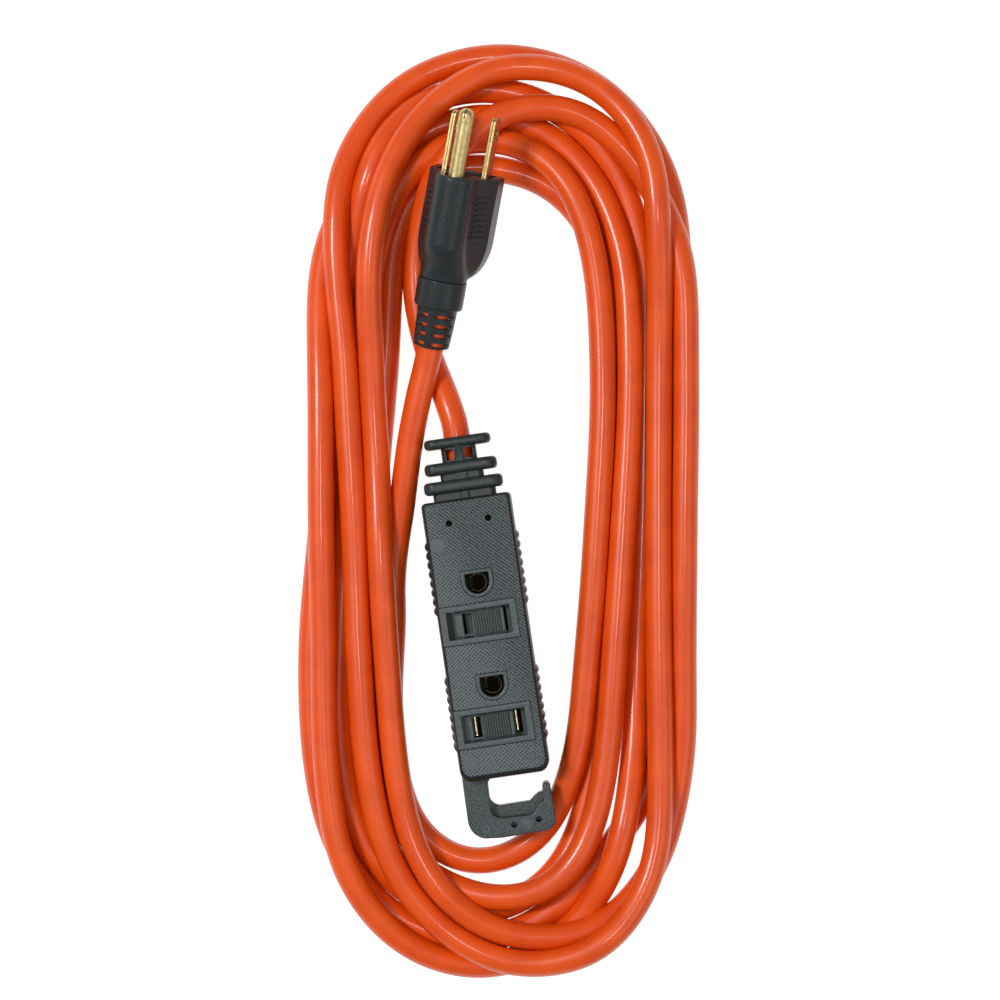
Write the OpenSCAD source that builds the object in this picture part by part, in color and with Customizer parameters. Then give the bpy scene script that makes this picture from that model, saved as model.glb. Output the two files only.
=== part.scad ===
// Outdoor extension cord: a flat tap with two outlets, sliding shutters and a hanging hook,
// a moulded three-prong plug, and the cord between them wound into a long oval hank.
// The tap lies on its back. Its outlets face +Z and its cord leaves towards +Y.

/* [Tap body] */
// Width of the tap at its parting line
tap_w = 28; // [27.5:0.5:30]
// Length of the tap's body, without relief and hook
tap_l = 86; // [85:0.5:90]
// Thickness of the tap
tap_t = 25; // [25:0.5:27]
// Inset of the front and back faces from the parting line
draft = 0.6; // [0:0.1:0.8]
// Thickness of the moulded jacket's walls
wall = 2.4; // [2:0.1:2.6]

/* [Outlets] */
// Distance from one outlet to the next
outlet_pitch = 31.7; // [31:0.1:34]
// Distance from the ground hole down to the blade slots
blade_drop = 11.9; // [11.9:0.1:12.2]
// Distance between the two blade slots
blade_gap = 12.7; // [12.6:0.05:12.8]
// Width of a blade slot
slot_w = 2; // [1.8:0.1:2.1]
// Travel of a sliding shutter
travel = 1.7; // [1.6:0.05:1.8]

/* [Relief and hook] */
// Length of the tap's strain relief outside the body
relief_l = 19; // [19:0.5:22]
// Reach of the hanging hook below the body
hook_l = 19; // [18:0.5:22]
// Thickness of the hook's plate
hook_t = 8.4; // [7:0.2:9]

/* [Plug] */
// Length of the plug's wide body
plug_l = 32.5; // [30:0.5:34]
// Width of the plug
plug_w = 22; // [22:0.5:23]
// Length of the plug's round collar
collar_l = 9; // [8:0.5:10]
// Length of the plug's slotted relief
plug_relief_l = 12.5; // [12:0.5:14]
// Length of a blade outside the plug
blade_l = 17.9; // [15.9:0.1:18.3]
// Diameter of the ground pin
pin_d = 4.75; // [4.7:0.01:4.8]
// Length of the ground pin outside the plug
pin_l = 20.6; // [19:0.1:21]

/* [Cord] */
// Outside diameter of the cord
cord_d = 8.2; // [7.8:0.1:8.6]
// Half of the hank's width
hank_half_w = 62; // [60:1:66]
// Half of the hank's length
hank_half_l = 146; // [144:1:150]
// Half of the width of the hank's opening
hank_open_w = 28; // [27:0.5:29]
// Half of the length of the hank's opening
hank_open_l = 110; // [109:1:111]
// Height of the wound hank
hank_h = 15; // [14:0.5:15]

/* [Hidden] */
$fn = 48;
hull_fn = 32;
eps = 0.05;
mid_z = tap_t / 2;
cord_r = cord_d / 2;

// Tap: where the outlets and the inner pieces lie
upper_y = 16.7;
ground_ys = [upper_y, upper_y - outlet_pitch];
window_ys = [for (y = ground_ys) y - blade_drop];
window_x = -1.2;
window_in = [19.4, 8.4];
window_out = [23.6, 12];
face_z = tap_t + 0.2;
plate_top = tap_t - wall;
plate_t = 1.8;
channel_top = plate_top - plate_t;
channel_d = 2.2;
core_mid = 13.5;
core_w = 22.6;
core_y = [-40.3, 23.5];
cavity = [22.8, 80, plate_top - wall];
contact_z = 3.6;
strip_t = 0.6;
leaf_t = 0.5;
crimp_l = 4.5;
crimp_r = 1.9;
crimp_y = 25.5;
wire_r = 1.3;
stub_start = 37.5;
shutter_play = 0.3;
grip_ridges = 9;

// Tap relief: fins as [start, end, width, height]
fins = [[2, 6, 24, 19], [8, 11.7, 22, 18], [16, 19, 20.4, 17]];
necks = [[-3.4, 2, 19, 15], [6, 8, 13, 13], [11.7, 16, 12.6, 12.6]];

// Plug: its front face centre and its attitude
plug_at = [13.2, 140.2, 29.8];
plug_turn = -18.9;
plug_pitch = 14;
plug_roll = -12.8;
pin_up = 6.5;
blade_down = pin_up - blade_drop;
blade_size = [1.5, 6.35];
plug_crimp_r = 1.7;
bridge_y = [-12, -0.6];
pin_root_r = 2;
plug_stub_start = -24.5;
plug_end = -(plug_l + collar_l + plug_relief_l);

// Hank: its centre and its lean on the floor
hank_at = [9.5, 38, 0];
hank_turn = -8.3;

// Routes of the two free ends, from the moulded pieces to the hank
tap_route = [
    [0, 62, 12.5], [0, 65.5, 12.5], [-0.5, 69, 12.2], [-1.2, 73, 11.5], [-2.1, 77, 10.2],
    [-3.1, 81, 8.4], [-4.1, 85, 6.6], [-4.9, 89, 5.2], [-5.5, 93, 4.4], [-6, 99, 4.2],
    [-6.2, 106, 4.2], [-5.6, 113, 4.3], [-4.2, 120, 4.9], [-2, 127, 6.2], [0.6, 134, 8.2],
    [3.5, 141, 10.8]
];
plug_route = [
    [-3.8, 90.7, 16.7], [-5.2, 87.1, 15.8], [-7.2, 82, 14.9], [-9.3, 77, 14.2], [-11.5, 71, 13.3],
    [-13.8, 64.5, 12.3], [-15.8, 58, 11.3], [-17.8, 51, 10.3], [-20, 43, 9.2], [-22.5, 35, 8.1],
    [-25, 26, 7.1], [-26.8, 17, 6.2], [-28, 8, 5.6]
];

// Rectangle with round corners, centred
module rounded_rect(w, l, r) {
    square([w - 2 * r, l], center = true);
    square([w, l - 2 * r], center = true);
    for (x = [-1, 1], y = [-1, 1])
        translate([x * (w / 2 - r), y * (l / 2 - r)]) circle(r);
}

// Ground hole outline: flat towards the cord, round towards the slots
module d_shape(w, h) {
    translate([-w / 2, -h / 2 + w / 2]) square([w, h - w / 2]);
    translate([0, -h / 2 + w / 2]) circle(w / 2);
}

// Round rod from one point to another
module rod(from, to, r) {
    run = to - from;
    flat = norm([run.x, run.y]);
    translate(from)
        rotate([0, atan2(flat, run.z), atan2(run.y, run.x)])
        cylinder(r = r, h = norm(run));
}

// Block that spans y0 to y1 with a rounded section across it
module across(y0, y1, w, h, r) {
    translate([0, y1, 0]) rotate([90, 0, 0]) linear_extrude(y1 - y0) rounded_rect(w, h, r);
}

// Hook outline: an arm, a bar and a raised tip around an opening
module hook_outline() {
    top = -tap_l / 2 + 1;
    low = -tap_l / 2 - hook_l;
    left = -tap_w / 2 + 0.5;
    arm_w = 8.2;
    bar_h = 9.7;
    tip_x = 10.6;
    right = 13.3;
    big_r = 6;
    small_r = 2.5;
    translate([left, low + big_r]) square([arm_w, top - low - big_r]);
    translate([left + big_r, low + big_r]) circle(big_r);
    translate([left + big_r, low]) square([right - left - big_r - small_r, bar_h]);
    translate([right - small_r, low + small_r]) circle(small_r);
    translate([tip_x, low + small_r]) square([right - tip_x, bar_h + 1]);
    translate([(tip_x + right) / 2, low + bar_h + 3.5]) circle((right - tip_x) / 2);
}

// Hook plate, stepped down along the inside of its bar
module hook() {
    plate_z = mid_z - hook_t / 2 + 0.5;
    ledge_z = plate_z + 3.2;
    difference() {
        translate([0, 0, plate_z]) linear_extrude(hook_t) hook_outline();
        translate([-4.2, -tap_l / 2 - hook_l + 6.7, ledge_z]) cube([13.6, 4, hook_t]);
    }
}

// Moulded shell of the tap, with its hook
module tap_jacket() {
    half = tap_w / 2;
    face = half - draft;
    color("#33393b") difference() {
        union() {
            intersection() {
                linear_extrude(tap_t) rounded_rect(tap_w, tap_l, 3);
                rotate([90, 0, 0]) linear_extrude(tap_l + 2, center = true)
                    polygon([[-face, 0], [face, 0], [half, mid_z], [face, tap_t],
                             [-face, tap_t], [-half, mid_z]]);
            }
            hook();
        }
        translate([-cavity.x / 2, -40.4, wall]) cube(cavity);
        for (y = ground_ys)
            translate([0, y, plate_top - 1]) linear_extrude(wall + 2) d_shape(9.8, 8.5);
        for (y = window_ys)
            translate([window_x - window_out.x / 2 - eps, y - window_out.y / 2 - eps, plate_top])
            cube([window_out.x + 2 * eps, window_out.y + 2 * eps, wall + 1]);
        translate([0, 0, mid_z]) across(38, tap_l / 2 + 1, 19.2, 15.2, 2);
        for (x = [-6, 6]) translate([x, 36, tap_t - 1.5]) cylinder(d = 2, h = 3);
        for (p = [[0.2, -59], [7.9, -59]])
            translate([p.x, p.y, mid_z + hook_t / 2 - 1]) cylinder(d = 2, h = 3);
    }
}

// Hard inner face with the raised rims around the ground holes and the windows
module faceplate() {
    color("#41484a") difference() {
        union() {
            translate([-core_w / 2, core_y[0], channel_top])
                cube([core_w, 39.4 - core_y[0], plate_t - eps]);
            for (y = ground_ys)
                translate([0, y, channel_top]) linear_extrude(face_z - channel_top)
                d_shape(9.7, 8.4);
            for (y = window_ys)
                translate([window_x - window_out.x / 2, y - window_out.y / 2, plate_top + eps])
                cube([window_out.x, window_out.y, face_z - plate_top - eps]);
            for (y = window_ys)
                translate([-core_w / 2, y - window_out.y / 2, channel_top])
                cube([window_x + window_out.x / 2 + core_w / 2, window_out.y, plate_t + 1]);
        }
        for (y = ground_ys)
            translate([0, y, channel_top - 1]) linear_extrude(10) d_shape(7.5, 6.5);
        for (y = window_ys)
            translate([window_x - window_in.x / 2, y - window_in.y / 2, channel_top - 1])
            cube([window_in.x, window_in.y, 10]);
    }
}

// Front half of the core, with the shutter channels, slots and ground holes
module core_front() {
    channel_w = window_in.y + 3;
    channel_end = 4.9 + travel + 0.2;
    color("#2c3133") difference() {
        translate([-core_w / 2, core_y[0], core_mid])
            cube([core_w, core_y[1] - core_y[0], channel_top - core_mid - eps]);
        for (y = window_ys)
            translate([-core_w / 2 - 1, y - channel_w / 2, channel_top - channel_d])
            cube([channel_end + core_w / 2 + 1, channel_w, channel_d + 1]);
        for (y = window_ys, x = [-1, 1])
            translate([x * blade_gap / 2 - slot_w / 2, y - 3.6, core_mid - 1])
            cube([slot_w, 7.2, 10]);
        for (y = ground_ys)
            translate([0, y, core_mid - 1]) linear_extrude(10) d_shape(7.5, 6.5);
    }
}

// Back half of the core, with a trough for each contact
module core_back() {
    color("#2c3133") difference() {
        translate([-core_w / 2, core_y[0], wall + eps])
            cube([core_w, core_y[1] - core_y[0], core_mid - wall - 2 * eps]);
        for (x = [-1, 1])
            translate([x * blade_gap / 2 - 2.4, -32, contact_z - eps]) cube([4.8, 60, 12]);
        translate([-3.2, -20, contact_z - eps]) cube([6.4, 50, 12]);
    }
}

// Sliding shutter in its open place; its slot then lies over the left blade slot
module shutter() {
    plate_z = channel_top - channel_d + shutter_play;
    plate_h = channel_d - 2 * shutter_play;
    top_z = plate_z + plate_h;
    plate_half = window_in.y / 2 + 1.2;
    raised_half = window_in.y / 2 - 0.4;
    difference() {
        union() {
            translate([-11.1, -plate_half, plate_z]) cube([16, 2 * plate_half, plate_h]);
            translate([-10.3, -raised_half, top_z - 0.5]) cube([2.5, 2 * raised_half, 1.7]);
            translate([-5.1, -raised_half, top_z - 0.5]) cube([10, 2 * raised_half, 2.2]);
            for (i = [0:grip_ridges - 1])
                translate([-4.2 + i * 0.82, -raised_half, top_z + 1.6])
                cube([0.45, 2 * raised_half, 0.8]);
        }
        translate([-7.8, -window_in.y / 2, plate_z - 1]) cube([2.7, window_in.y, 8]);
    }
}

module shutter_upper() {
    color("#4a5254") translate([travel, window_ys[0], 0]) shutter();
}

module shutter_lower() {
    color("#4a5254") translate([0, window_ys[1], 0]) shutter();
}

// Bus strip with two spring leaves behind each outlet
module blade_contact(side) {
    x = side * blade_gap / 2;
    translate([x - 1.8, -31, contact_z]) cube([3.6, 61, strip_t]);
    for (y = window_ys, s = [-1, 1])
        translate([x + s * 1.05 - leaf_t / 2, y - 3.2, contact_z + strip_t - eps])
        cube([leaf_t, 6.4, 9]);
}

module line_contact() {
    color("#b5923f") blade_contact(-1);
}

module neutral_contact() {
    color("#b5923f") blade_contact(1);
}

// Ground strip with a sleeve behind each outlet
module ground_contact() {
    color("#b5923f") difference() {
        union() {
            translate([-1.6, -18, contact_z]) cube([3.2, 48, strip_t]);
            for (y = ground_ys) translate([0, y, contact_z]) cylinder(r = 3, h = 9.6);
        }
        for (y = ground_ys) translate([0, y, contact_z + strip_t]) cylinder(r = 2.5, h = 20);
    }
}

// Barrel that grips the end of a conductor
module crimp(x) {
    color("#b5923f") translate([x, crimp_y + crimp_l, contact_z + strip_t + crimp_r + eps])
        rotate([90, 0, 0]) difference() {
            cylinder(r = crimp_r, h = crimp_l);
            translate([0, 0, -1]) cylinder(r = 1.1, h = crimp_l + 2);
        }
}

module line_crimp() {
    crimp(-blade_gap / 2);
}

module neutral_crimp() {
    crimp(blade_gap / 2);
}

module ground_crimp() {
    crimp(0);
}

// Insulated conductor from the cord's cut end to its crimp
module tap_wire(x, end_x, lift) {
    z = contact_z + strip_t + crimp_r + eps;
    rod([x, crimp_y + crimp_l - 0.5, z], [end_x, stub_start + 0.5, mid_z + lift], wire_r);
}

module tap_line_wire() {
    color("#1d1d1f") tap_wire(-blade_gap / 2, -1.8, 0.8);
}

module tap_neutral_wire() {
    color("#e8e6df") tap_wire(blade_gap / 2, 1.8, 0.8);
}

module tap_ground_wire() {
    color("#2f7a45") tap_wire(0, 0, -2);
}

// Finned strain relief, stepped down towards the cord, with windows in its last neck
module tap_strain_relief() {
    base = tap_l / 2;
    window = [3.2, 3.3, 12];
    color("#33393b") translate([0, base, mid_z]) difference() {
        union() {
            for (f = fins) across(f[0], f[1], f[2], f[3], 2);
            for (n = necks) across(n[0], n[1], n[2], n[3], 1.8);
        }
        translate([0, 30, 0]) rotate([90, 0, 0]) cylinder(r = cord_r + eps, h = 40);
        for (x = [-1, 1])
            translate([x * 3.3 - window.x / 2, 12.2, -window.z / 2 - 4])
            cube([window.x, window.y, window.z + 8]);
    }
}

// Cord jacket inside the tap's relief
module tap_cord_stub() {
    color("#e8470f") translate([0, tap_l / 2 + relief_l, mid_z]) rotate([90, 0, 0])
        cylinder(r = cord_r, h = tap_l / 2 + relief_l - stub_start);
}

// Places a piece drawn with the plug's front at Y = 0 and its prongs towards +Y
module plug_place() {
    translate(plug_at) rotate([0, 0, plug_turn]) rotate([plug_pitch, 0, 0])
        rotate([0, plug_roll, 0]) children();
}

// Space of the hard bridge in the plug's front: wide at the blades, narrow at the pin
module bridge_block(gap) {
    y = bridge_y[0] - gap;
    l = bridge_y[1] - bridge_y[0] + 2 * gap;
    translate([-8.4 - gap, y, -9.6 - gap]) cube([16.8 + 2 * gap, l, 8.2 + 2 * gap]);
    translate([-3.4 - gap, y, -1.5]) cube([6.8 + 2 * gap, l, 10.4 + gap]);
}

// Section of the plug's wide body: upright low sides, then slopes up to the spine
module plug_section() {
    w = plug_w / 2;
    polygon([[-w, -11.2], [w, -11.2], [w, -3.2], [4.2, 8], [-4.2, 8], [-w, -3.2]]);
}

// Moulded plug: a wide body that narrows to a round collar, with a spine over the pin
module plug_body() {
    straight = plug_l - 11.5;
    color("#2d3336") plug_place() difference() {
        union() {
            rotate([90, 0, 0]) linear_extrude(straight) plug_section();
            hull() {
                translate([0, 0.1 - straight, 0]) rotate([90, 0, 0]) linear_extrude(0.2)
                    plug_section();
                translate([0, -plug_l, 0]) rotate([90, 0, 0])
                    cylinder(r = 7.5, h = 0.2, $fn = hull_fn);
            }
            translate([0, 0, 5.4]) rotate([90, 0, 0]) cylinder(r = 6.4, h = straight + 1.5);
            translate([0, -plug_l, 0]) rotate([90, 0, 0]) cylinder(r = 7.5, h = collar_l);
        }
        bridge_block(eps);
        translate([0, bridge_y[1], 0]) {
            translate([-8.4, -eps, -9.6]) cube([16.8, 1, 8.2]);
            translate([-3.4, -eps, -1.5]) cube([6.8, 1, 10.4]);
        }
        translate([-8.2, -24, -7.2]) cube([16.4, 24 + bridge_y[0] + 1, 6]);
        translate([-3.2, -22, -1.3]) cube([6.4, 22 + bridge_y[0] + 1, 9.9]);
        translate([0, -20, 0]) rotate([90, 0, 0]) cylinder(r = 5.6, h = plug_l + collar_l);
    }
}

// Hard bridge that holds the three prongs in the plug's front
module plug_bridge() {
    color("#24292b") plug_place() difference() {
        bridge_block(0);
        for (x = [-1, 1])
            translate([x * blade_gap / 2 - blade_size[0] / 2 - eps, bridge_y[0] - 1,
                       blade_down - blade_size[1] / 2 - eps])
            cube([blade_size[0] + 2 * eps, 14, blade_size[1] + 2 * eps]);
        translate([0, 1, pin_up]) rotate([90, 0, 0]) cylinder(r = pin_root_r + eps, h = 15);
    }
}

// Flat blade with a narrower tip, a locking hole near it and a tang for its crimp
module blade(side) {
    hole_r = 1.6;
    x = side * blade_gap / 2;
    z = blade_down;
    tip = 1.2;
    plug_place() difference() {
        union() {
            translate([x - blade_size[0] / 2, bridge_y[0], z - blade_size[1] / 2])
                cube([blade_size[0], blade_l - tip - bridge_y[0], blade_size[1]]);
            translate([x - blade_size[0] / 2, -14, z - 1.5]) cube([blade_size[0], 3, 3]);
            translate([x - blade_size[0] / 2, blade_l - tip - eps, z - blade_size[1] / 2 + tip])
                cube([blade_size[0], tip + eps, blade_size[1] - 2 * tip]);
        }
        translate([x - 3, blade_l - 4.5, z]) rotate([0, 90, 0]) cylinder(r = hole_r, h = 6);
    }
}

module line_blade() {
    color("#c9a24a") blade(1);
}

module neutral_blade() {
    color("#c9a24a") blade(-1);
}

// Round ground pin with a domed tip
module ground_pin() {
    r = pin_d / 2;
    color("#c9a24a") plug_place() translate([0, 0, pin_up]) {
        translate([0, pin_l - r, 0]) rotate([90, 0, 0]) cylinder(r = r, h = pin_l - r);
        translate([0, eps, 0]) rotate([90, 0, 0]) cylinder(r = pin_root_r, h = 14);
        translate([0, pin_l - r, 0]) rotate([-90, 0, 0]) rotate_extrude()
            intersection() {
                circle(r);
                square(r);
            }
    }
}

// Three barrels behind the bridge, one for each prong
module plug_crimps() {
    color("#b5923f") plug_place()
        for (p = [[-blade_gap / 2, blade_down], [blade_gap / 2, blade_down], [0, pin_up]])
            translate([p[0], -14.1, p[1]]) rotate([90, 0, 0]) difference() {
                cylinder(r = plug_crimp_r, h = crimp_l);
                translate([0, 0, -1]) cylinder(r = 1, h = crimp_l + 2);
            }
}

// Insulated conductor from a crimp to the plug's cord
module plug_wire(x, z, end_x, end_z) {
    plug_place() rod([x, -13.6 - crimp_l, z], [end_x, plug_stub_start - 0.5, end_z], wire_r);
}

module plug_line_wire() {
    color("#1d1d1f") plug_wire(blade_gap / 2, blade_down, 1.9, -1);
}

module plug_neutral_wire() {
    color("#e8e6df") plug_wire(-blade_gap / 2, blade_down, -1.9, -1);
}

module plug_ground_wire() {
    color("#2f7a45") plug_wire(0, pin_up, 0, 1.9);
}

// Slotted strain relief that tapers from the collar to the cord
module plug_strain_relief() {
    root = 7;
    rows = 4;
    slot = [5.6, 1.2];
    color("#2d3336") plug_place() difference() {
        translate([0, -plug_l - collar_l + root, 0]) rotate([90, 0, 0]) {
            cylinder(r = 5.5, h = root);
            translate([0, 0, root]) cylinder(r1 = 6.1, r2 = 5.5, h = plug_relief_l);
        }
        translate([0, -20, 0]) rotate([90, 0, 0]) cylinder(r = cord_r + eps, h = 60);
        for (i = [0:rows - 1], side = [-1, 1])
            translate([side * 4.2 - slot[0] / 2, -plug_l - collar_l - 2.4 - i * 2.9, -9])
            cube([slot[0], slot[1], 18]);
    }
}

// Cord jacket inside the plug's collar and relief
module plug_cord_stub() {
    color("#e8470f") plug_place() translate([0, plug_stub_start, 0]) rotate([90, 0, 0])
        cylinder(r = cord_r, h = plug_stub_start - plug_end);
}

// Direction of travel at a route's point
function along(route, i) =
    let (a = route[max(i - 1, 0)], b = route[min(i + 1, len(route) - 1)]) (b - a) / norm(b - a);

// Ring of points around a route's point, square to its direction
function ring(route, i, r, sides) =
    let (t = along(route, i), s = cross(t, [0, 0, 1]) / norm(cross(t, [0, 0, 1])),
         u = cross(s, t))
    [for (k = [0:sides - 1]) route[i] + r * (cos(360 * k / sides) * s + sin(360 * k / sides) * u)];

// Round tube swept along a route
module tube(route, r) {
    sides = 10;
    last = len(route) - 1;
    points = [for (i = [0:last]) each ring(route, i, r, sides)];
    skin = [for (i = [0:last - 1], k = [0:sides - 1])
        let (a = i * sides + k, b = i * sides + (k + 1) % sides) [a, a + sides, b + sides, b]];
    polyhedron(points, concat(skin, [[for (k = [0:sides - 1]) k]],
        [[for (k = [sides - 1:-1:0]) last * sides + k]]), convexity = 4);
}

module cord_tap_end() {
    color("#e8470f") tube(tap_route, cord_r);
}

module cord_plug_end() {
    color("#e8470f") tube(plug_route, cord_r);
}

// Long outline with round ends
module stadium(half_w, half_l) {
    square([2 * half_w, 2 * (half_l - half_w)], center = true);
    for (s = [-1, 1]) translate([0, s * (half_l - half_w)]) circle(half_w, $fn = 96);
}

// The wound cord, as one oval block around the tap
module cord_hank() {
    color("#e8470f") translate(hank_at) rotate([0, 0, hank_turn]) linear_extrude(hank_h)
        difference() {
            stadium(hank_half_w, hank_half_l);
            stadium(hank_open_w, hank_open_l);
        }
}

tap_jacket();
faceplate();
core_front();
core_back();
shutter_upper();
shutter_lower();
line_contact();
neutral_contact();
ground_contact();
line_crimp();
neutral_crimp();
ground_crimp();
tap_line_wire();
tap_neutral_wire();
tap_ground_wire();
tap_strain_relief();
tap_cord_stub();
plug_body();
plug_bridge();
line_blade();
neutral_blade();
ground_pin();
plug_crimps();
plug_line_wire();
plug_neutral_wire();
plug_ground_wire();
plug_strain_relief();
plug_cord_stub();
cord_tap_end();
cord_plug_end();
cord_hank();
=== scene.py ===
"""Outdoor extension cord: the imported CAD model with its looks, in metres and in the CAD frame."""
import math

import bmesh
import bpy
import numpy as np
from mathutils import Matrix, Vector


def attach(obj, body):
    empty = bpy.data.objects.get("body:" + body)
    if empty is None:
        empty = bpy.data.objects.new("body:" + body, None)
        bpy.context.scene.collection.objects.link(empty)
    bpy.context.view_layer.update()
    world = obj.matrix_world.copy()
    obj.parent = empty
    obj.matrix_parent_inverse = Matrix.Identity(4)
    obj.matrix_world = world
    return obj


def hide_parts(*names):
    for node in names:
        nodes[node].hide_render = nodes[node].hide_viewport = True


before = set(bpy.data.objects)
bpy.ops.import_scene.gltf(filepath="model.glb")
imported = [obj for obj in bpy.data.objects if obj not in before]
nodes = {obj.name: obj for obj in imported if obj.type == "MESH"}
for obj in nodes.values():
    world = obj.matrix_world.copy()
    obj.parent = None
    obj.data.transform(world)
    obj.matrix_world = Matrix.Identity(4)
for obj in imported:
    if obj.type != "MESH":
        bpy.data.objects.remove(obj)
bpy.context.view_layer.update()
MM = 0.001

# ---------------------------------------------------------------- camera

LEAN = math.radians(8.3)            # the tap leans this far to the left in the view
CAMERA_FOOT = (0.0104, 0.0408)      # the point of the floor under the camera
CAMERA_HEIGHT = 0.95
FIELD = 0.3125                      # width of floor in the view
SENSOR = 36.0


def make_camera():
    data = bpy.data.cameras.new("camera")
    data.sensor_width = SENSOR
    data.lens = SENSOR * CAMERA_HEIGHT / FIELD
    data.clip_start = 0.05
    camera = bpy.data.objects.new("camera", data)
    bpy.context.scene.collection.objects.link(camera)
    camera.location = (*CAMERA_FOOT, CAMERA_HEIGHT)
    camera.rotation_euler = (0.0, 0.0, -LEAN)
    bpy.context.scene.camera = camera


make_camera()

# ---------------------------------------------------------------- cord

CORD_D = 8.2 * MM
CORD_R = CORD_D / 2
HANK_AT = (9.5, 38.0)               # centre of the hank, mm
HANK_HALF_W = 45.0                  # half width of the base oval, mm
HANK_ARC_Y = 83.0                   # where the oval's straight sides end, mm
LAYER = 8.0                         # rise from one layer of cord to the next, mm

# The free ends, as in the CAD model, in mm
TAP_ROUTE = [
    (0, 62, 12.5), (0, 65.5, 12.5), (-0.5, 69, 12.2), (-1.2, 73, 11.5), (-2.1, 77, 10.2),
    (-3.1, 81, 8.4), (-4.1, 85, 6.6), (-4.9, 89, 5.2), (-5.5, 93, 4.4), (-6, 99, 4.2),
    (-6.2, 106, 4.2), (-5.6, 113, 4.3), (-4.2, 120, 4.9), (-2, 127, 6.2), (0.6, 134, 8.2),
    (3.5, 141, 10.8),
]
PLUG_ROUTE = [
    (-3.8, 90.7, 16.7), (-5.2, 87.1, 15.8), (-7.2, 82, 14.9), (-9.3, 77, 14.2), (-11.5, 71, 13.3),
    (-13.8, 64.5, 12.3), (-15.8, 58, 11.3), (-17.8, 51, 10.3), (-20, 43, 9.2), (-22.5, 35, 8.1),
    (-25, 26, 7.1), (-26.8, 17, 6.2), (-28, 8, 5.6),
]

# Stations around the hank's base oval, clockwise from the left side: a distance along a
# straight side in mm, or an angle on a round end in degrees
STATIONS = (
    [("left", v) for v in (-45, 0, 45, 83)]
    + [("top", a) for a in (150, 120, 90, 60, 30)]
    + [("right", v) for v in (83, 45, 0, -45, -83)]
    + [("low", a) for a in (-30, -60, -90, -120, -150)]
    + [("left", -83)]
)

# Each turn: its first station, how many mm it lies outside the base oval at each station,
# and the layer it is laid on there
TURNS = [
    (5, [-14, -5, 2, 4, 10, 12, 11, 10, 9, 10, 9, 2, -7, -13, -14],
        [2, 1, 1, 1, 1, 1, 1, 1, 1, 1, 2, 2, 2, 1, 1]),
    (0, [-11, -9, -6, -6, -5, 1, 9, 12, 9, 5, 5, 5, 5, 5, 10, 14, 11, 2, -4, -5],
        [1, 1, 1, 2, 2, 1, 1, 1, 2, 2, 1, 1, 1, 1, 2, 1, 1, 1, 2, 2]),
    (0, [-2, 0, 3, 4, 7, 11, 13, 13, 11, 10, 8, 8, 7, 5, -3, -1, 6, 9, 8, 9],
        [1, 1, 2, 2, 1, 0, 0, 0, 0, 0, 0, 0, 0, 0, 0, 0, 0, 0, 0, 0]),
    (0, [12, 8, 5, 1, 2, 5, 2, -1, -3, -2, 0, 0, -2, -4, -3, 4, 12, 13, 10, 8],
        [0, 0, 0, 1, 0, 0, 0, 0, 0, 0, 0, 0, 0, 1, 1, 1, 0, 1, 1, 1]),
    (0, [9, 9, 7, 6, -1, -6, -5, -7, -8, -7, -4, -7, -10, -13, -12, -7, -6, -8, -7, -6],
        [1, 1, 1, 0, 0, 0, 0, 0, 1, 1, 1, 1, 1, 1, 1, 1, 1, 1, 1, 1]),
    (0, [-5, -5, -8, -11, -13, -15, -21, -20, -18, -13, -10, -11, -13, -16, -14, -6, -2, 1, 1, 1],
        [0] * 20),
    (0, [3, 2, -2, -9, -11, -11, -13, -15, -17, -16, -12, -13, -16, -21, -23, -21, -17, -11,
         -7, -6],
        [0, 0, 0, 0, 1, 1, 0, 1, 1, 1, 1, 1, 1, 0, 0, 0, 0, 0, 0, 0]),
    (0, [-9], [0]),
]

# Where the plug lies: the middle of its front in mm, then its turn, pitch and roll
PLUG_PLACE = (Matrix.Translation((13.2, 140.2, 29.8))
              @ Matrix.Rotation(math.radians(-18.9), 4, "Z")
              @ Matrix.Rotation(math.radians(14), 4, "X")
              @ Matrix.Rotation(math.radians(-12.8), 4, "Y"))

# The plug, as capsules the cord stays clear of: two ends in the plug's frame and a radius, mm
PLUG_CAPSULES = [
    ((0, -54, 0), (0, -41.5, 0), 6.2),
    ((0, -41.5, 0), (0, -32.5, 0), 7.5),
    ((-3, -30, -3), (-3, -3, -3), 8.2),
    ((3, -30, -3), (3, -3, -3), 8.2),
]


def station_point(station, lane, layer):
    """A point lane mm outside the base oval, on a layer, in mm in the CAD frame."""
    side, value = station
    out = HANK_HALF_W + lane
    if side in ("left", "right"):
        across, along = (-out if side == "left" else out), value
    else:
        turn = math.radians(value)
        centre = HANK_ARC_Y if side == "top" else -HANK_ARC_Y
        across, along = out * math.cos(turn), centre + out * math.sin(turn)
    c, s = math.cos(LEAN), math.sin(LEAN)
    x = HANK_AT[0] + across * c + along * s
    y = HANK_AT[1] - across * s + along * c
    return x, y, CORD_R / MM + layer * LAYER


def plug_point(point):
    """A point of the plug's frame in the CAD frame, to a tenth of a mm, in metres."""
    return np.round(PLUG_PLACE @ Vector(point), 1) * MM


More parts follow.
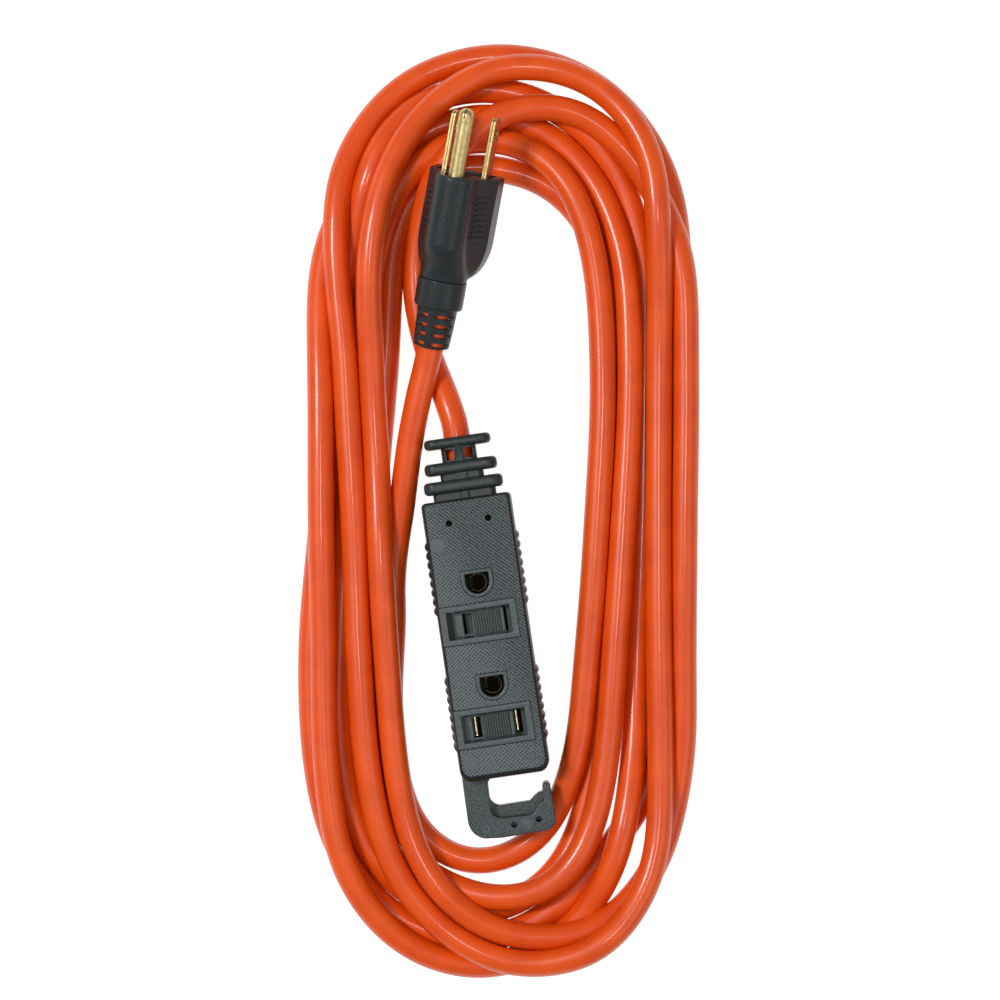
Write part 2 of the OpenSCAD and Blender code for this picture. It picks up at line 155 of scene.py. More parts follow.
def smooth_line(points, step):
    """Points every step along a smooth curve through the given ones, and each one's span."""
    chords = np.linalg.norm(np.diff(points, axis=0), axis=1)
    at = np.concatenate([[0], np.cumsum(chords)])
    unit = np.diff(points, axis=0) / chords[:, None]
    slope = np.empty_like(points)
    slope[0], slope[-1] = unit[0], unit[-1]
    weight = (chords[1:] / (chords[1:] + chords[:-1]))[:, None]
    slope[1:-1] = unit[:-1] * weight + unit[1:] * (1 - weight)
    where = np.linspace(0, at[-1], int(round(at[-1] / step)) + 1)
    span = np.clip(np.searchsorted(at, where, side="right") - 1, 0, len(points) - 2)
    length = chords[span][:, None]
    f = ((where - at[span]) / chords[span])[:, None]
    line = ((2 * f**3 - 3 * f**2 + 1) * points[span] + (f**3 - 2 * f**2 + f) * length * slope[span]
            + (3 * f**2 - 2 * f**3) * points[span + 1] + (f**3 - f**2) * length * slope[span + 1])
    return line, span


def ease(values, amount, passes):
    """Smooths a line's points, each towards the middle of its neighbours."""
    for _ in range(passes):
        middle = values.copy()
        middle[1:-1] = 0.5 * (values[:-2] + values[2:])
        values += 0.5 * amount * (middle - values)
    return values


def settle(line, held, rounds):
    """Lets the wound cord settle under its weight: it bends softly, stays near its lanes,
    rests on the floor and on itself, and keeps clear of the plug."""
    sag, lane_pull, flat = 0.25 * MM, 0.04, np.array([0.3, 0.3, 1.0])
    free = np.where(held, 0.0, 1.0)[:, None]
    lanes = line * [1, 1, 0]
    first, second = np.triu_indices(len(line), 7)
    capsules = [(plug_point(a), plug_point(b), r * MM + CORD_R) for a, b, r in PLUG_CAPSULES]
    for turn in range(rounds):
        shift = (line - lanes) * [1 - lane_pull, 1 - lane_pull, 1]
        shift[:, 2:] -= sag * free
        line = lanes + ease(shift, free, 10)
        if turn % 8 == 0:
            gap = line[first] - line[second]
            close = (gap * gap).sum(1) < (2.0 * CORD_D) ** 2
            a, b = first[close], second[close]
        for _ in range(4):
            gap = line[a] - line[b]
            reach = np.linalg.norm(gap, axis=1) + 1e-9
            hit = reach < CORD_D
            way = gap[hit] * flat
            way /= np.linalg.norm(way, axis=1)[:, None] + 1e-12
            square = np.maximum((way * gap[hit]).sum(1) / reach[hit], 0.5)
            share = way * ((CORD_D - reach[hit]) * 0.5 / square)[:, None]
            push, count = np.zeros_like(line), np.zeros((len(line), 1))
            for at, part in ((a[hit], share), (b[hit], -share)):
                np.add.at(push, at, part)
                np.add.at(count, at, 1)
            line += 1.6 * push / np.maximum(count, 1) * free
            for start, end, clear in capsules:
                axis = end - start
                f = np.clip((line - start) @ axis / (axis @ axis), 0, 1)[:, None]
                away = line - (start + f * axis)
                far = np.linalg.norm(away, axis=1)[:, None]
                line += away / far * (clear - far) * (far < clear) * free
            line[:, 2:] = np.where(free > 0, np.maximum(line[:, 2:], CORD_R), line[:, 2:])
    joints = ease(free.copy(), 1.0, 3)
    joints[:3] = joints[-3:] = 0.0
    return ease(line, joints, 8)


def cord_line():
    route = list(TAP_ROUTE)
    for first, lanes, layers in TURNS:
        for k, (lane, layer) in enumerate(zip(lanes, layers)):
            route.append(station_point(STATIONS[first + k], lane, layer))
    route += PLUG_ROUTE[::-1]
    points = np.array(route, float) * MM
    line, span = smooth_line(points, 4.5 * MM)
    held = (span < len(TAP_ROUTE) - 1) | (span >= len(points) - len(PLUG_ROUTE))
    line = settle(line, held, 200)
    return smooth_line(line, 2.4 * MM)[0]


def make_cord(material):
    line = cord_line()
    curve = bpy.data.curves.new("cord", "CURVE")
    curve.dimensions = "3D"
    curve.bevel_depth = CORD_R
    curve.bevel_resolution = 6
    spline = curve.splines.new("POLY")
    spline.points.add(len(line) - 1)
    spline.points.foreach_set("co", np.hstack([line, np.ones((len(line), 1))]).ravel())
    spline.use_smooth = True
    curve.materials.append(material)
    cord = bpy.data.objects.new("cord", curve)
    bpy.context.scene.collection.objects.link(cord)
    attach(cord, "tap")
    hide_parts("cord_tap_end", "cord_plug_end", "cord_hank")
    return cord


# ---------------------------------------------------------------- materials

def new_material(name, colour, roughness, metallic=0.0, coat=0.0, coat_roughness=0.1):
    material = bpy.data.materials.new(name)
    material.use_nodes = True
    shader = material.node_tree.nodes["Principled BSDF"]
    shader.inputs["Base Color"].default_value = (*colour, 1.0)
    shader.inputs["Roughness"].default_value = roughness
    shader.inputs["Metallic"].default_value = metallic
    shader.inputs["Coat Weight"].default_value = coat
    shader.inputs["Coat Roughness"].default_value = coat_roughness
    shader.inputs["Specular IOR Level"].default_value = 0.5 if metallic else 0.32
    return material


def add_node(material, kind, inputs=(), **settings):
    """Adds a node; inputs are (socket, value or other node's output)."""
    tree = material.node_tree
    node = tree.nodes.new(kind)
    for key, value in settings.items():
        setattr(node, key, value)
    for socket, value in inputs:
        if isinstance(value, bpy.types.NodeSocket):
            tree.links.new(value, node.inputs[socket])
        else:
            node.inputs[socket].default_value = value
    return node


def two_tones(material, factor, dark, light):
    """Colours the shader from dark to light with a factor."""
    mix = add_node(material, "ShaderNodeMix", data_type="RGBA",
                   inputs=((0, factor), (6, (*dark, 1.0)), (7, (*light, 1.0))))
    shader = material.node_tree.nodes["Principled BSDF"]
    material.node_tree.links.new(mix.outputs[2], shader.inputs["Base Color"])


def raise_surface(material, height, distance, strength):
    bump = add_node(material, "ShaderNodeBump",
                    inputs=(("Strength", strength), ("Distance", distance), ("Height", height)))
    shader = material.node_tree.nodes["Principled BSDF"]
    material.node_tree.links.new(bump.outputs[0], shader.inputs["Normal"])


def grained(name, dark, light, roughness, size, depth, strength=0.6, metallic=0.0):
    """Plastic or metal with an irregular grain of a size, in metres."""
    material = new_material(name, light, roughness, metallic)
    place = add_node(material, "ShaderNodeTexCoord")
    noise = add_node(material, "ShaderNodeTexNoise", inputs=(
        ("Vector", place.outputs["Object"]), ("Scale", 1 / size), ("Detail", 2.0)))
    spread = add_node(material, "ShaderNodeMapRange", inputs=(
        (0, noise.outputs[0]), (1, 0.35), (2, 0.65)))
    two_tones(material, spread.outputs[0], dark, light)
    raise_surface(material, noise.outputs[0], depth, strength)
    return material


def crosshatched(name, dark, light, roughness):
    """Face texture of fine slanted ribs, crossed by a second set towards the left and below."""
    material = new_material(name, light, roughness)
    place = add_node(material, "ShaderNodeTexCoord")
    waves = []
    for turn in (-46.7, 50.0):
        lie = add_node(material, "ShaderNodeMapping", inputs=(
            ("Vector", place.outputs["Object"]), ("Rotation", (0, 0, math.radians(turn)))))
        waves.append(add_node(material, "ShaderNodeTexWave", wave_type="BANDS",
                              bands_direction="X", wave_profile="SIN", inputs=(
                                  ("Vector", lie.outputs[0]),
                                  ("Scale", math.tau / 20 / (0.87 * MM)),
                                  ("Distortion", 1.4), ("Detail", 2.0), ("Detail Scale", 0.8))))
    at = add_node(material, "ShaderNodeSeparateXYZ", inputs=((0, place.outputs["Object"]),))
    across = add_node(material, "ShaderNodeMath", operation="MULTIPLY_ADD", inputs=(
        (0, at.outputs[1]), (1, 0.3), (2, at.outputs[0])))
    crossed = add_node(material, "ShaderNodeMapRange", inputs=(
        (0, across.outputs[0]), (1, -7 * MM), (2, 7 * MM), (3, 0.9), (4, 0.1)))
    second = add_node(material, "ShaderNodeMath", operation="MULTIPLY", inputs=(
        (0, waves[1].outputs[1]), (1, crossed.outputs[0])))
    ribs = add_node(material, "ShaderNodeMath", operation="MULTIPLY_ADD", inputs=(
        (0, waves[0].outputs[1]), (1, 0.75), (2, second.outputs[0])))
    # Only faces that face up get the ribs; every other face drops to the dark colour, painted
    # shade.
    faces = add_node(material, "ShaderNodeSeparateXYZ", inputs=((0, place.outputs["Normal"]),))
    facing = add_node(material, "ShaderNodeMapRange", inputs=(
        (0, faces.outputs[2]), (1, 0.9), (2, 0.97)))
    grain = add_node(material, "ShaderNodeTexNoise", inputs=(
        ("Vector", place.outputs["Object"]), ("Scale", 1400.0), ("Detail", 2.0)))
    rough = add_node(material, "ShaderNodeMath", operation="MULTIPLY_ADD", inputs=(
        (0, grain.outputs[0]), (1, 1.3), (2, ribs.outputs[0])))
    height = add_node(material, "ShaderNodeMath", operation="MULTIPLY", inputs=(
        (0, rough.outputs[0]), (1, facing.outputs[0])))
    # Colour follows the ribs' height with some random grain: painted shade in the grooves, painted
    # light on the crests.
    rib_light_and_shade = add_node(material, "ShaderNodeMapRange", inputs=(
        (0, height.outputs[0]), (1, 0.6), (2, 1.75)))
    two_tones(material, rib_light_and_shade.outputs[0], dark, light)
    raise_surface(material, height.outputs[0], 0.12 * MM, 0.8)
    return material


def jacket(name, dark, light):
    """Glossy extruded jacket, a little uneven along its length."""
    material = new_material(name, light, 0.4, coat=0.3, coat_roughness=0.13)
    place = add_node(material, "ShaderNodeTexCoord")
    noise = add_node(material, "ShaderNodeTexNoise", inputs=(
        ("Vector", place.outputs["Object"]), ("Scale", 90.0), ("Detail", 1.0)))
    spread = add_node(material, "ShaderNodeMapRange", inputs=(
        (0, noise.outputs[0]), (1, 0.35), (2, 0.65)))
    two_tones(material, spread.outputs[0], dark, light)
    raise_surface(material, noise.outputs[0], 0.5 * MM, 0.35)
    return material


cord_orange = jacket("cord_orange", (0.7, 0.068, 0.002), (0.77, 0.084, 0.003))
# The face's dark and light colours are painted shade and light across its ribs.
tap_grey = crosshatched("tap_grey", (0.008, 0.012, 0.013), (0.125, 0.15, 0.153), 0.5)
hook_grey = grained("hook_grey", (0.02, 0.028, 0.029), (0.078, 0.096, 0.098), 0.4,
                    0.45 * MM, 0.1 * MM)
relief_grey = grained("relief_grey", (0.016, 0.021, 0.022), (0.026, 0.033, 0.034), 0.36,
                      1.2 * MM, 0.05 * MM, 0.4)
mark_grey = new_material("mark_grey", (0.088, 0.106, 0.109), 0.45)
rim_grey = grained("rim_grey", (0.055, 0.069, 0.072), (0.082, 0.101, 0.105), 0.38,
                   1.2 * MM, 0.04 * MM, 0.4)
core_grey = new_material("core_grey", (0.012, 0.013, 0.014), 0.6)
channel_grey = new_material("channel_grey", (0.04, 0.049, 0.051), 0.5)
plug_grey = grained("plug_grey", (0.014, 0.018, 0.02), (0.021, 0.027, 0.029), 0.36,
                    0.9 * MM, 0.03 * MM, 0.4)
brass = grained("brass", (0.5, 0.39, 0.16), (0.66, 0.53, 0.25), 0.4, 1.5 * MM, 0.01 * MM, 0.15,
                metallic=1.0)
# Darkened brass for the ground sleeves: partly tarnish, partly painted shade deep in the holes.
tarnish_and_shade_brass = new_material("tarnish_and_shade_brass", (0.1, 0.07, 0.028), 0.4, metallic=1.0)
# Brass brighter than the rest, so the lips of the tall leaves glint: a painted highlight.
glint_brass = new_material("glint_brass", (0.85, 0.7, 0.36), 0.32, metallic=1.0)
# Near-black brass for the bus strips and short leaves deep inside the tap: painted shade.
painted_shade_brass = new_material("painted_shade_brass", (0.016, 0.01, 0.005), 0.6, metallic=1.0)
wire_black = new_material("wire_black", (0.012, 0.012, 0.013), 0.4)
wire_white = new_material("wire_white", (0.8, 0.79, 0.74), 0.4)
wire_green = new_material("wire_green", (0.02, 0.22, 0.06), 0.4)

cord = make_cord(cord_orange)

NODE_MATERIALS = {
    "tap_jacket": tap_grey, "tap_strain_relief": hook_grey, "faceplate": rim_grey,
    "core_front": channel_grey, "core_back": core_grey, "plug_bridge": core_grey,
    "shutter_upper": rim_grey, "shutter_lower": rim_grey, "plug_body": plug_grey,
    "plug_strain_relief": plug_grey, "tap_cord_stub": cord_orange, "plug_cord_stub": cord_orange,
    "cord_tap_end": cord_orange, "cord_plug_end": cord_orange, "cord_hank": cord_orange,
    "tap_line_wire": wire_black, "plug_line_wire": wire_black,
    "tap_neutral_wire": wire_white, "plug_neutral_wire": wire_white,
    "tap_ground_wire": wire_green, "plug_ground_wire": wire_green,
}
for name, obj in nodes.items():
    obj.data.materials.clear()
    obj.data.materials.append(NODE_MATERIALS.get(name, brass))

# ---------------------------------------------------------------- shaping helpers


def arc(cx, cy, r, start, end, steps):
    """Points along an arc, from one angle to another in degrees, in mm."""
    return [(cx + r * math.cos(math.radians(start + (end - start) * k / steps)),
             cy + r * math.sin(math.radians(start + (end - start) * k / steps)))
            for k in range(steps + 1)]


def circle(x, y, r, steps=24):
    """Outline of a circle, anticlockwise, in mm."""
    return [(x + r * math.cos(math.tau * k / steps), y + r * math.sin(math.tau * k / steps))
            for k in range(steps)]


def rectangle(x0, x1, y0, y1):
    """Outline of a rectangle, anticlockwise, in mm."""
    return [(x0, y0), (x1, y0), (x1, y1), (x0, y1)]


def rounded(x0, x1, y0, y1, r, steps=5):
    """Outline of a rectangle with round corners, anticlockwise, in mm."""
    return (arc(x1 - r, y1 - r, r, 0, 90, steps) + arc(x0 + r, y1 - r, r, 90, 180, steps)
            + arc(x0 + r, y0 + r, r, 180, 270, steps) + arc(x1 - r, y0 + r, r, 270, 360, steps))


def d_outline(y, w, h, corner=0.5):
    """Outline of a ground hole at y: flat towards +Y, round towards -Y, in mm."""
    half, top = w / 2, y + h / 2 - corner
    return (arc(0, y - h / 2 + half, half, 180, 360, 16)
            + arc(half - corner, top, corner, 0, 90, 3)
            + arc(corner - half, top, corner, 90, 180, 3))


def slab(bm, outlines, z0, z1, edge=0.0, steps=2):
    """Adds a plate of an outline, with the other outlines as holes, with rounded rims."""
    new = []
    for outline in outlines:
        ring = [bm.verts.new((x, y, z0)) for x, y in outline]
        new += [bm.edges.new((ring[k - 1], ring[k])) for k in range(len(ring))]
    bottom = bmesh.ops.triangle_fill(bm, use_beauty=True, edges=new)["geom"]
    faces = [g for g in bottom if isinstance(g, bmesh.types.BMFace)]
    top = bmesh.ops.extrude_face_region(bm, geom=faces, use_keep_orig=True)["geom"]
    verts = [g for g in top if isinstance(g, bmesh.types.BMVert)]
    bmesh.ops.translate(bm, verts=verts, vec=(0, 0, z1 - z0))
    top = [g for g in top if isinstance(g, bmesh.types.BMFace)]
    mine = set(faces + top)
    for vert in verts:
        mine.update(vert.link_faces)
    bmesh.ops.recalc_face_normals(bm, faces=list(mine))
    if edge:
        flat = set(faces + top)
        rims = [e for e in {e for f in mine for e in f.edges}
                if sum(f in flat for f in e.link_faces) == 1]
        bmesh.ops.bevel(bm, geom=rims, offset=edge, segments=steps, affect="EDGES", profile=0.5)


def loft(bm, rings):
    """Adds a skin over rings of points, closed at both ends."""
    rows = [[bm.verts.new(p) for p in ring] for ring in rings]
    n = len(rows[0])
    faces = [bm.faces.new((a[k - 1], a[k], b[k], b[k - 1]))
             for a, b in zip(rows, rows[1:]) for k in range(n)]
    faces += [bm.faces.new(rows[0]), bm.faces.new(rows[-1])]
    bmesh.ops.recalc_face_normals(bm, faces=faces)


def block_y(bm, y0, y1, w, h, r, edge, at=(0.0, 0.0), steps=5):
    """Adds a block from y0 to y1 with a round-cornered section and rounded end rims."""
    rings = []
    for k in range(7):
        a = math.radians(15 * k)
        rings.append((y0 + edge * (1 - math.sin(a)), edge * (1 - math.cos(a))))
    rings.sort()
    rings += [(y0 + y1 - y, inset) for y, inset in reversed(rings)]
    loft(bm, [[(at[0] + x, y, at[1] + z) for x, z in
               rounded(-w / 2 + i, w / 2 - i, -h / 2 + i, h / 2 - i, max(r - i, 0.3), steps)]
              for y, i in rings])


def piece(name, bm, material, body="tap", replaces=(), place=None, sharp=40):
    """Makes an object of a mesh drawn in mm, and ties it to its body and CAD nodes."""
    bmesh.ops.transform(bm, matrix=Matrix.Scale(MM, 4) @ (place or Matrix.Identity(4)),
                        verts=bm.verts)
    mesh = bpy.data.meshes.new(name)
    bm.to_mesh(mesh)
    bm.free()
    mesh.materials.append(material)
    mesh.polygons.foreach_set("use_smooth", [True] * len(mesh.polygons))
    mesh.set_sharp_from_angle(angle=math.radians(sharp))
    obj = bpy.data.objects.new(name, mesh)
    bpy.context.scene.collection.objects.link(obj)
    weigh = obj.modifiers.new("weigh", "WEIGHTED_NORMAL")
    weigh.keep_sharp = True
    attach(obj, body)
    if replaces:
        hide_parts(*replaces)
    return obj


def carve(bm, *cutters, crossing=False):
    """Cuts closed meshes out of a mesh, all in mm; crossing joins parts that overlap."""
    def link(source):
        mesh = bpy.data.meshes.new("carve")
        source.to_mesh(mesh)
        source.free()
        obj = bpy.data.objects.new("carve", mesh)
        bpy.context.scene.collection.objects.link(obj)
        return obj

    body = link(bm)
    tools = [link(c) for c in cutters]
    for tool in tools:
        cut = body.modifiers.new("cut", "BOOLEAN")
        cut.operation, cut.solver, cut.object = "DIFFERENCE", "EXACT", tool
        cut.use_self = crossing
    bpy.context.view_layer.update()
    result = bpy.data.meshes.new_from_object(
        body.evaluated_get(bpy.context.evaluated_depsgraph_get()))
    carved = bmesh.new()
    carved.from_mesh(result)
    for obj in (body, *tools):
        mesh = obj.data
        bpy.data.objects.remove(obj)
        bpy.data.meshes.remove(mesh)
    bpy.data.meshes.remove(result)
    return carved


def cutter(outline, z0, z1):
    """An upright shape to cut with."""
    bm = bmesh.new()
    slab(bm, [outline], z0, z1)
    return bm


def drill(x, z, r, y0, y1, steps):
    """A round shape along Y to cut with."""
    bm = bmesh.new()
    loft(bm, [[(a, y, b) for a, b in circle(x, z, r, steps)] for y in (y0, y1)])
    return bm


# ---------------------------------------------------------------- tap

MID_Z = 12.5                        # all in mm
FACE_Z = 25.0
BODY_HALF_L = 43.0
GROUND_YS = (16.7, -15.0)           # middles of the ground holes
WINDOW_YS = (4.8, -26.9)            # middles of the windows over the blade slots
WINDOW_X = -1.2
BLADE_X = 6.35                      # half the distance between a plug's blades
PLATE_TOP = 22.6                    # top of the hard inner face
CHANNEL_TOP = 20.8                  # top of the channels that the shutters slide in
RIM_TOP = 25.25
ABOVE = 26.0                        # clear of the tap, for cutters
TRAVEL = 1.7                        # of a shutter
PIN_HOLES = ((-6.0, 36.0), (6.0, 36.0))
GRIP_SPANS = ((8.2, 31.0), (-33.6, -10.8))      # lengths of the ribbed sides
GRIP_PITCH = 2.85


def body_ring(z, inset, low_inset):
    """Outline of the tap's body at a height, with its ribbed sides."""
    half = 14.0 - 0.6 * abs(z - MID_Z) / MID_Z - inset
    y0, y1, low_r, top_r = -BODY_HALF_L + low_inset, BODY_HALF_L - inset, 3.0, 1.4
    rise = np.clip((z - 2.2) / 1.6, 0, 1) * np.clip((23.0 - z) / 1.6, 0, 1)
    side = np.linspace(y0 + low_r, y1 - top_r, 300)
    swell = np.zeros_like(side)
    for low, high in GRIP_SPANS:
        inside = (side > low) & (side < high)
        wave = np.abs(np.sin(math.pi * (side - low) / GRIP_PITCH)) ** 0.7
        swell += np.where(inside, 0.75 * wave, 0.0)
    swell *= rise
    points = []
    for sign, end, r, start in ((1, y1, top_r, 0), (-1, y0, low_r, 180)):
        cx, cy = sign * (half - r), end - sign * r
        points += [(sign * (half + s), y) for s, y in zip(swell[::sign], side[::sign])]
        points += arc(cx, cy, r, start + 15, start + 75, 4)
        points += [(cx * f, end) for f in (1.0, 0.5, 0.0, -0.5, -1.0)]
        points += arc(-cx, cy, r, start + 105, start + 165, 4)
    return [(x, y, z) for x, y in points]


def make_tap_body():
    bm = bmesh.new()
    levels = [(0.0, 0.95, 2.2), (0.25, 0.45, 1.5), (0.6, 0.15, 0.95), (1.1, 0.0, 0.5),
              (2.3, 0.0, 0.1), (3.0, 0.0, 0.0), (4.0, 0.0, 0.0), (8.0, 0.0, 0.0)]
    rings = [body_ring(z, i, low) for z, i, low in levels] + [body_ring(MID_Z, 0.0, 0.0)]
    rings += [body_ring(FACE_Z - z, i, low) for z, i, low in reversed(levels)]
    loft(bm, rings)
    cutters = [cutter(rectangle(-11.4, 11.4, -40.4, 39.6), 2.4, PLATE_TOP - 2.4)]
    cutters += [cutter(d_outline(y, 10.0, 8.7), PLATE_TOP - 3.0, ABOVE) for y in GROUND_YS]
    cutters += [cutter(rounded(WINDOW_X - 11.95, WINDOW_X + 11.95, y - 6.15, y + 6.15, 0.5),
                       PLATE_TOP - 3.0, ABOVE) for y in WINDOW_YS]
    cutters += [cutter(circle(x, y, 1.0), 16.0, ABOVE) for x, y in PIN_HOLES]
    bm = carve(bm, *cutters)
    piece("tap_shell", bm, tap_grey, replaces=("tap_jacket",), sharp=32)


def make_hook():
    """Arm, bar and raised tip, with a lower ledge along the inside of the bar."""
    outer = [(-13.5, -41.8)] + arc(-7.6, -55.6, 6.0, 180, 258, 8) + [(-4.0, -61.9)]
    outer += arc(9.6, -58.1, 3.7, 285, 350, 6) + [(13.2, -53.0), (13.1, -49.4)]
    outer += arc(11.85, -48.3, 1.25, 20, 175, 8)
    low = [(10.4, -49.9), (9.2, -50.1), (7.7, -51.0), (6.2, -52.3)]
    low += arc(-2.6, -49.0, 3.4, 270, 185, 8) + [(-5.9, -46.0)]
    low += arc(-3.6, -45.6, 2.3, 178, 110, 6) + [(-3.6, -41.8)]
    high = [(10.4, -49.9), (10.3, -52.4), (8.9, -53.0), (6.9, -55.4), (5.6, -56.0), (-0.8, -55.9)]
    high += arc(-2.9, -52.6, 3.2, 270, 180, 8) + [(-6.0, -41.8)]
    bm = bmesh.new()
    slab(bm, [outer + low], 8.8, 13.4, 0.5, 3)
    slab(bm, [outer + high], 12.6, 17.2, 0.55, 3)
    holes = [cutter(circle(x, y, 0.95), 9.8, 19.0) for x, y in ((0.3, -58.5), (8.0, -57.8))]
    bm = carve(bm, *holes, crossing=True)
    piece("tap_hook", bm, hook_grey, replaces=("tap_jacket",), sharp=35)


def make_rims():
    """Raised rims around the ground holes and windows, on the hard inner face."""
    bm = bmesh.new()
    for y in GROUND_YS:
        slab(bm, [d_outline(y, 9.7, 8.4), d_outline(y, 7.3, 6.3, 0.3)],
             CHANNEL_TOP, RIM_TOP, 0.3)
    for y in WINDOW_YS:
        slab(bm, [rounded(WINDOW_X - 11.8, WINDOW_X + 11.8, y - 6.0, y + 6.0, 0.4),
                  rounded(WINDOW_X - 9.7, WINDOW_X + 9.7, y - 4.2, y + 4.2, 0.25)],
             CHANNEL_TOP, RIM_TOP, 0.3)
    openings = [rectangle(-4.0, 4.0, y - 3.5, y + 3.5) for y in GROUND_YS]
    openings += [rectangle(WINDOW_X - 10, WINDOW_X + 10, y - 4.5, y + 4.5) for y in WINDOW_YS]
    openings += [circle(x, y, 1.05) for x, y in PIN_HOLES]
    slab(bm, [rectangle(-11.3, 11.3, -40.3, 39.4)] + openings, CHANNEL_TOP, PLATE_TOP - 0.05)
    piece("outlet_rims", bm, rim_grey, replaces=("faceplate",))


def make_shutter(name, node, body, y, shift):
    """Sliding plate with a slot, a stepped strip at the left and a ridged thumb grip."""
    bm = bmesh.new()
    bottom = CHANNEL_TOP - 1.9
    top = bottom + 1.6
    slab(bm, [rounded(-11.1, 4.9, -5.4, 5.4, 0.4), rounded(-7.8, -5.1, -4.2, 4.2, 0.15)],
         bottom, top, 0.12)
    slab(bm, [rounded(-10.3, -7.85, -3.8, 3.8, 0.2)], top - 0.3, top + 1.0, 0.25)
    slab(bm, [rounded(-5.05, -4.35, -3.8, 3.8, 0.2)], top - 0.3, top + 1.4, 0.2)
    slab(bm, [rounded(-4.55, 3.5, -3.8, 3.8, 0.2)], top - 0.3, top + 0.8, 0.1)
    for y0 in (-3.8, 3.15):
        slab(bm, [rounded(-8.0, -4.4, y0, y0 + 0.65, 0.1)], top - 0.3, top + 0.7, 0.1)
    for k in range(10):
        x = -4.0 + 0.8 * k
        block_y(bm, -3.8, 3.8, 0.4, 2.0, 0.18, 0.18, at=(x, top + 1.1), steps=3)
    slab(bm, [rounded(3.75, 4.85, -3.8, 3.8, 0.2)], top - 0.3, top + 1.75, 0.25)
    piece(name, bm, rim_grey, body=body, replaces=(node,),
          place=Matrix.Translation((shift, y, 0)))


def make_relief():
    """Fins, the necks between them and the webs that join them, with windows to the cord."""
    bm = bmesh.new()
    for y0, y1, w, h, edge in ((45.1, 49.0, 24.4, 19, 1.3), (50.9, 54.6, 22.4, 18, 1.3),
                               (58.9, 62.0, 20.6, 16.5, 1.25)):
        block_y(bm, y0, y1, w, h, 3.2, edge, at=(0, MID_Z), steps=7)
    block_y(bm, 39.6, 46.5, 19.4, 15, 1.8, 0.3, at=(0, MID_Z))
    block_y(bm, 48.0, 52.0, 13.4, 13.4, 1.8, 0.3, at=(0, MID_Z))
    block_y(bm, 53.5, 60.0, 10.8, 12.2, 1.8, 0.3, at=(0, MID_Z))
    web = [(-1.55, 42.5), (1.55, 42.5), (1.55, 50.9), (1.25, 52.0), (1.25, 60.0), (-1.25, 60.0),
           (-1.25, 52.0), (-1.55, 50.9)]
    slab(bm, [web], MID_Z, 20.4, 0.35)
    slab(bm, [web], 4.6, MID_Z, 0.35)
    bore = drill(0, MID_Z, 4.15, 30.0, 70.0, 40)
    windows = [cutter(rounded(x - 1.6, x + 1.6, 55.1, 58.4, 0.9), z0, z1)
               for x in (-3.25, 3.25)
               for z0, z1 in ((0.0, MID_Z - 0.6), (MID_Z + 0.6, ABOVE))]
    bm = carve(bm, bore, *windows, crossing=True)
    piece("tap_relief", bm, relief_grey, replaces=("tap_strain_relief",),
          sharp=38)


def make_marks():
    """Smooth round marks left by the mould on the face and the hook."""
    bm = bmesh.new()
    for x, y, r in ((-10.3, 29.6, 2.25), (-9.8, -37.1, 2.25)):
        slab(bm, [circle(x, y, r, 40)], 24.9, 25.07, 0.05)
    slab(bm, [circle(9.9, -37.2, 2.1, 40), circle(9.9, -37.2, 1.75, 40)], 24.9, 25.07, 0.05)
    slab(bm, [circle(4.2, -58.4, 1.9, 40), circle(4.2, -58.4, 1.55, 40)], 17.1, 17.28, 0.05)
    slab(bm, [circle(4.2, -58.4, 1.2, 40)], 17.1, 17.25, 0.05)
    slab(bm, [circle(-8.3, -58.5, 1.1, 30), circle(-8.3, -58.5, 0.7, 30)], 17.1, 17.27, 0.05)
    piece("mould_marks", bm, mark_grey, replaces=("tap_jacket",))


# Height and place across the slot, along a tall leaf with a lip and along a short one
TALL_LEAF = ((3.9, 1.05), (9.0, 0.6), (12.0, 0.2), (13.2, 0.05), (13.8, -0.05), (14.15, -0.25),
             (14.3, -0.55))
SHORT_LEAF = ((3.9, -1.05), (9.0, -0.75), (11.0, -0.65))


def make_contacts():
    """Spring leaves behind the blade slots, split sleeves behind the ground holes, and the
    bus strips that they stand on."""
    def leaves(bm, side, profile):
        for y in WINDOW_YS:
            rings = []
            for z, off in profile:
                x = side * BLADE_X + off
                rings.append([(a, b, z) for a, b in
                              rectangle(x - 0.2, x + 0.2, y - 3.1, y + 3.1)])
            loft(bm, rings)

    for name, node, side in (("line_leaves", "line_contact", -1),
                             ("neutral_leaves", "neutral_contact", 1)):
        bm = bmesh.new()
        leaves(bm, side, TALL_LEAF)
        # The tall leaves take the brightened brass: a painted highlight on their lips.
        piece(name, bm, glint_brass, replaces=(node,), sharp=50)
        bm = bmesh.new()
        x = side * BLADE_X
        slab(bm, [rounded(x - 1.8, x + 1.8, -31, 30, 0.3)], 3.6, 4.2, 0.1)
        leaves(bm, side, SHORT_LEAF)
        # The strip and the short leaf take the near-black brass: painted shade deep in the slot.
        piece(name.replace("leaves", "strip"), bm, painted_shade_brass,
              replaces=(node,))
    bm = bmesh.new()
    slab(bm, [rounded(-1.6, 1.6, -18, 30, 0.3)], 3.6, 4.2, 0.1)
    # The ground strip takes the near-black brass too: painted shade deep under the holes.
    piece("ground_strip", bm, painted_shade_brass, replaces=("ground_contact",))
    bm = bmesh.new()
    for y in GROUND_YS:
        sleeve = arc(0, y, 2.9, -150, 150, 24) + arc(0, y, 2.45, 150, -150, 24)
        slab(bm, [sleeve], 4.0, 13.0, 0.1)
    # The sleeves take the darkened brass: tarnish and painted shade deep in the holes.
    piece("ground_sleeves", bm, tarnish_and_shade_brass, replaces=("ground_contact",),
          sharp=50)


